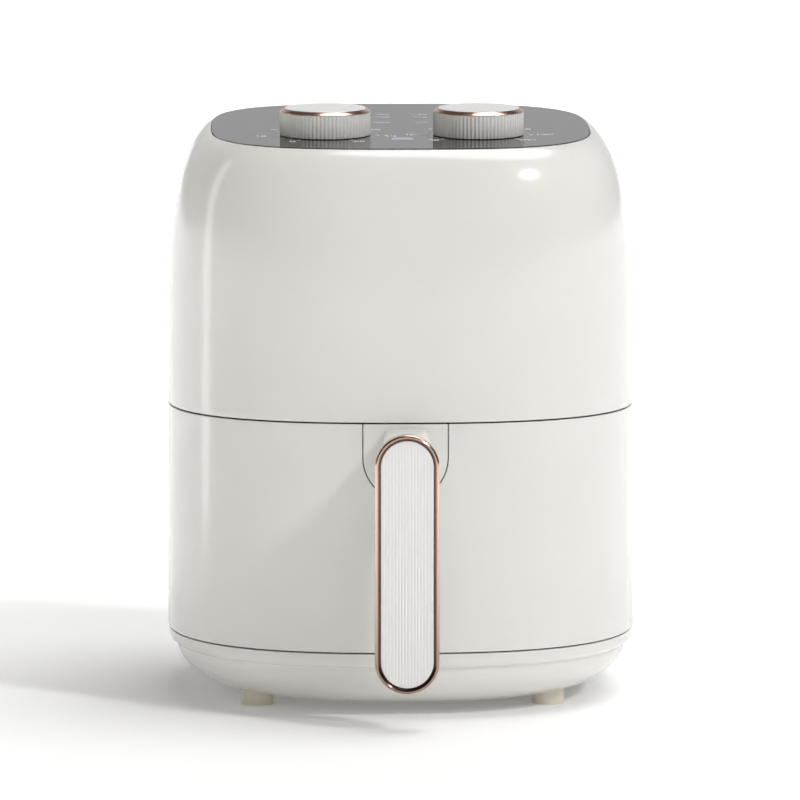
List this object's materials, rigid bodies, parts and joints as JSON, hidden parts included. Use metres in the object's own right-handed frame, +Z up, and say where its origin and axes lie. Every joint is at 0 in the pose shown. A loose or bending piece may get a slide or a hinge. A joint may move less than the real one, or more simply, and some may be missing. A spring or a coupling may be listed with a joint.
{
  "type": "air fryer",
  "caption": "Rounded basket air fryer with a domed body, a pull-out drawer with a bar handle, and turned timer and temperature controls on a sloping top panel.",
  "frame": {"origin": "bottom centre of the whole object's box, on the surface that the fryer stands on", "axes": "+Z up; +X to the right of a user who faces the drawer; the drawer pulls out along -Y"},
  "size_m": [0.2603, 0.3106, 0.3275],
  "materials": {
    "shell_gloss": "glossy cream moulding",
    "panel_gloss": "polished dark grey panel",
    "rose_gold": "polished rose gold plating",
    "cream_matte": "satin cream moulding",
    "lens_milk": "milky translucent lens",
    "foot_silicone": "soft pale silicone",
    "dark_nylon": "fine-grained dark nylon",
    "sheet_steel": "bright aluminised sheet",
    "nonstick": "speckled dark non-stick coating",
    "element_steel": "heat-darkened tube",
    "copper": "lacquered winding wire",
    "lamination": "stacked laminations",
    "shaft_steel": "ground steel",
    "zinc": "zinc-plated steel",
    "bronze": "sintered bronze",
    "gasket_grey": "soft grey silicone",
    "board_green": "circuit board"
  },
  "bodies": {
    "housing": {"upper_shell": "shell_gloss", "rear_shell": "shell_gloss", "base_tray": "shell_gloss", "foot_pads": "foot_silicone", "bay_floor": "dark_nylon", "base_screws": "zinc", "bay_liner": "dark_nylon", "slide_rails": "dark_nylon", "bay_ceiling": "dark_nylon", "chassis_deck": "dark_nylon", "deck_screws": "zinc", "inner_liner": "sheet_steel", "heat_shield": "sheet_steel", "chamber_gasket": "gasket_grey", "heating_element": "element_steel", "element_guard": "sheet_steel", "air_duct": "dark_nylon", "rear_vent_cover": "dark_nylon", "cord_gland": "dark_nylon", "motor_brackets": "zinc", "motor_bushes": "bronze", "motor_stator": "lamination", "motor_coil": "copper", "control_panel": "panel_gloss", "panel_frame": "dark_nylon", "indicator_lens": "lens_milk", "indicator_lamp": "board_green", "timer_unit": "zinc", "thermostat_unit": "zinc", "timer_bell": "shaft_steel", "thermostat_probe": "copper", "interlock_switch": "dark_nylon"},
    "drawer": {"drawer_front": "shell_gloss", "handle_plate": "shell_gloss", "handle_shell": "cream_matte", "handle_trim_ring": "rose_gold", "handle_insert": "cream_matte", "handle_reinforcement": "dark_nylon", "handle_screws": "zinc", "pan": "nonstick", "drawer_inner_frame": "dark_nylon", "pan_bracket": "dark_nylon"},
    "crisper": {"crisper_plate": "nonstick", "plate_bumpers": "gasket_grey", "plate_grip": "gasket_grey"},
    "timer_control": {"timer_knob": "cream_matte", "timer_knob_ring": "rose_gold", "timer_knob_cap": "shell_gloss", "timer_shaft": "shaft_steel"},
    "temperature_control": {"temperature_knob": "cream_matte", "temperature_knob_ring": "rose_gold", "temperature_knob_cap": "shell_gloss", "temperature_shaft": "shaft_steel"},
    "fan_rotor": {"motor_shaft": "shaft_steel", "motor_rotor": "lamination", "hot_air_impeller": "sheet_steel", "cooling_fan": "dark_nylon", "impeller_nut": "zinc"},
    "switch_plunger": {"interlock_plunger": "lens_milk"}
  },
  "joints": [
    {"name": "drawer_slide", "type": "slide", "parent": "housing", "child": "drawer", "axis": [0, -1, 0], "range_m": [0, 0.3]},
    {"name": "plate_lift", "type": "slide", "parent": "drawer", "child": "crisper", "axis": [0, 0, 1], "range_m": [0, 0.08]},
    {"name": "timer_turn", "type": "hinge", "parent": "housing", "child": "timer_control", "pos_m": [-0.0421, -0.02518, 0.31109], "axis": [0, -0.0567, 0.9984], "range_deg": [-300, 0]},
    {"name": "temperature_turn", "type": "hinge", "parent": "housing", "child": "temperature_control", "pos_m": [0.0421, -0.02518, 0.31109], "axis": [0, -0.0567, 0.9984], "range_deg": [-270, 0]},
    {"name": "fan_spin", "type": "hinge", "parent": "housing", "child": "fan_rotor", "pos_m": [0, 0.01725, 0.2035], "axis": [0, 0, 1], "continuous": true},
    {"name": "switch_press", "type": "slide", "parent": "housing", "child": "switch_plunger", "axis": [0, 1, 0], "range_m": [0, 0.0015], "stiffness_N_per_m": 200, "springref_m": -0.001}
  ]
}
